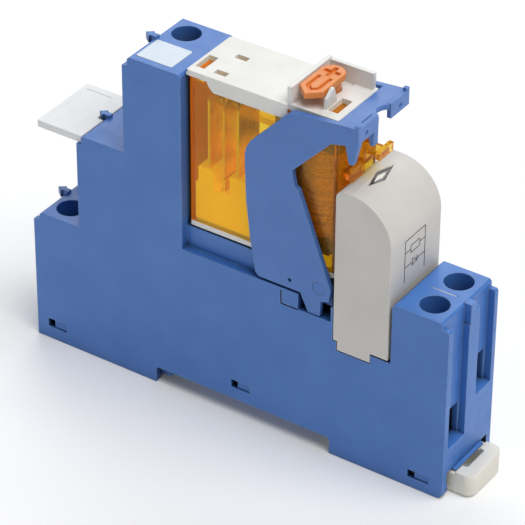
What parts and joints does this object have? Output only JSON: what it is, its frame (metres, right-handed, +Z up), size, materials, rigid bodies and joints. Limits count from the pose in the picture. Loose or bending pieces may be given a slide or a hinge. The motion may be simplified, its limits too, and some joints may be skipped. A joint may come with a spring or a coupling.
{
  "type": "plug-in relay interface module",
  "caption": "Slim rail-mounting screw-terminal socket with a plug-in relay in a see-through cover, a hinged release clip and an indicator module.",
  "frame": {"origin": "centre of the rail seat, the face of the socket that rests on a 35 mm mounting rail, midway along the rail width and midway across the body", "axes": "+X along the socket from the contact terminals to the coil terminals and the rail clip handle, +Y across the thin body from the front side face to the rear one, +Z up from the rail seat to the relay top"},
  "size_m": [0.0906, 0.0158, 0.0698],
  "materials": {
    "socket": "moulded blue polyamide, fine satin",
    "base": "moulded blue polyamide, fine satin",
    "clip": "moulded blue polyamide, satin",
    "label": "matte",
    "tag": "matte",
    "busbar": "punched copper alloy",
    "screw": "zinc-plated steel",
    "cage": "zinc-plated steel",
    "rail_clip": "natural polyamide, slightly translucent",
    "relay_white": "moulded white",
    "amber": "transparent amber polycarbonate",
    "yellow": "moulded yellow polyester",
    "bobbin": "moulded black",
    "copper": "enamelled copper wire",
    "iron": "nickel-plated soft iron",
    "yoke": "dark plated soft iron",
    "blade": "copper alloy strip",
    "silver": "silver alloy",
    "flag": "moulded",
    "button": "moulded orange",
    "module": "moulded light grey, fine spark-eroded texture",
    "board": "glass-epoxy laminate with green resist",
    "led": "clear epoxy",
    "window": "clear light guide",
    "diode": "moulded",
    "resistor": "lacquered"
  },
  "bodies": {
    "socket": {"socket_housing": "socket", "socket_base": "base", "marker_label": "label", "bus_com": "busbar", "bus_nc": "busbar", "bus_no": "busbar", "bus_a1": "busbar", "bus_a2": "busbar", "module_case": "module", "module_board": "board", "module_led": "led", "module_window": "window", "module_diode": "diode", "module_resistor": "resistor", "module_pins": "blade"},
    "screw_com": {"screw_com": "screw"},
    "cage_com": {"cage_com": "cage"},
    "screw_nc": {"screw_nc": "screw"},
    "cage_nc": {"cage_nc": "cage"},
    "screw_no": {"screw_no": "screw"},
    "cage_no": {"cage_no": "cage"},
    "screw_a1": {"screw_a1": "screw"},
    "cage_a1": {"cage_a1": "cage"},
    "screw_a2": {"screw_a2": "screw"},
    "cage_a2": {"cage_a2": "cage"},
    "rail_clip": {"rail_clip": "rail_clip"},
    "id_tag": {"id_tag": "tag"},
    "release_clip": {"release_clip": "clip"},
    "relay": {"relay_base": "relay_white", "relay_cover": "amber", "relay_top": "relay_white", "relay_insulator": "yellow", "coil_bobbin": "bobbin", "coil_winding": "copper", "coil_core": "iron", "coil_yoke": "yoke", "coil_pins": "blade", "blade_no": "blade", "blade_nc": "blade", "contact_foot": "blade", "fixed_rivets": "silver", "armature_spring": "blade"},
    "armature": {"armature": "iron", "flag": "flag"},
    "pusher": {"pusher": "yellow"},
    "moving_contact": {"blade_com": "blade", "moving_rivets": "silver"},
    "test_button": {"test_button": "button"}
  },
  "joints": [
    {"name": "screw_com_turn", "type": "hinge", "parent": "socket", "child": "screw_com", "pos_m": [-0.0389, -0.0037, 0.0137], "axis": [0, 0, -1], "range_deg": [0, 1081]},
    {"name": "cage_com_lift", "type": "slide", "parent": "socket", "child": "cage_com", "axis": [0, 0, 1], "range_m": [0, 0.0018]},
    {"name": "screw_nc_turn", "type": "hinge", "parent": "socket", "child": "screw_nc", "pos_m": [-0.0282, 0.0041, 0.0361], "axis": [0, 0, -1], "range_deg": [0, 1081]},
    {"name": "cage_nc_lift", "type": "slide", "parent": "socket", "child": "cage_nc", "axis": [0, 0, 1], "range_m": [0, 0.0018]},
    {"name": "screw_no_turn", "type": "hinge", "parent": "socket", "child": "screw_no", "pos_m": [-0.0189, 0.0041, 0.0567], "axis": [0, 0, -1], "range_deg": [0, 1081]},
    {"name": "cage_no_lift", "type": "slide", "parent": "socket", "child": "cage_no", "axis": [0, 0, 1], "range_m": [0, 0.0018]},
    {"name": "screw_a2_turn", "type": "hinge", "parent": "socket", "child": "screw_a2", "pos_m": [0.0365, -0.0038, 0.0186], "axis": [0, 0, -1], "range_deg": [0, 1081]},
    {"name": "cage_a2_lift", "type": "slide", "parent": "socket", "child": "cage_a2", "axis": [0, 0, 1], "range_m": [0, 0.0018]},
    {"name": "screw_a1_turn", "type": "hinge", "parent": "socket", "child": "screw_a1", "pos_m": [0.0364, 0.0041, 0.0249], "axis": [0, 0, -1], "range_deg": [0, 1081]},
    {"name": "cage_a1_lift", "type": "slide", "parent": "socket", "child": "cage_a1", "axis": [0, 0, 1], "range_m": [0, 0.0018]},
    {"name": "rail_clip_pull", "type": "slide", "parent": "socket", "child": "rail_clip", "axis": [1, 0, 0], "range_m": [0, 0.002], "stiffness_N_per_m": 2500, "springref_m": -0.0005},
    {"name": "id_tag_slide", "type": "slide", "parent": "socket", "child": "id_tag", "axis": [-1, 0, 0], "range_m": [0, 0.004]},
    {"name": "release_clip_swing", "type": "hinge", "parent": "socket", "child": "release_clip", "pos_m": [0.0161, 0, 0.0303], "axis": [0, 1, 0], "range_deg": [0, 14.05]},
    {"name": "relay_lift", "type": "slide", "parent": "socket", "child": "relay", "axis": [0, 0, 1], "range_m": [0, 0.0009]},
    {"name": "test_button_press", "type": "slide", "parent": "relay", "child": "test_button", "axis": [0, 0, -1], "range_m": [0, 0.00085], "stiffness_N_per_m": 500},
    {"name": "armature_tilt", "type": "hinge", "parent": "relay", "child": "armature", "pos_m": [0.0066, 0, 0.05765], "axis": [0, 1, 0], "range_deg": [0, 4.31]},
    {"name": "pusher_slide", "type": "slide", "parent": "relay", "child": "pusher", "axis": [-1, 0, 0], "range_m": [0, 0.00043]},
    {"name": "contact_bend", "type": "hinge", "parent": "relay", "child": "moving_contact", "pos_m": [-0.00513, 0, 0.0429], "axis": [0, -1, 0], "range_deg": [0, 2.55]}
  ],
  "couplings": [
    {"joint": "screw_com_turn", "follows": "cage_com_lift", "rad_per_m": 10472},
    {"joint": "screw_nc_turn", "follows": "cage_nc_lift", "rad_per_m": 10472},
    {"joint": "screw_no_turn", "follows": "cage_no_lift", "rad_per_m": 10472},
    {"joint": "screw_a2_turn", "follows": "cage_a2_lift", "rad_per_m": 10472},
    {"joint": "screw_a1_turn", "follows": "cage_a1_lift", "rad_per_m": 10472},
    {"joint": "release_clip_swing", "follows": "relay_lift", "rad_per_m": 271.5},
    {"joint": "armature_tilt", "follows": "test_button_press", "rad_per_m": 88.293},
    {"joint": "pusher_slide", "follows": "test_button_press", "ratio": 0.49412},
    {"joint": "contact_bend", "follows": "test_button_press", "rad_per_m": 51.333}
  ]
}
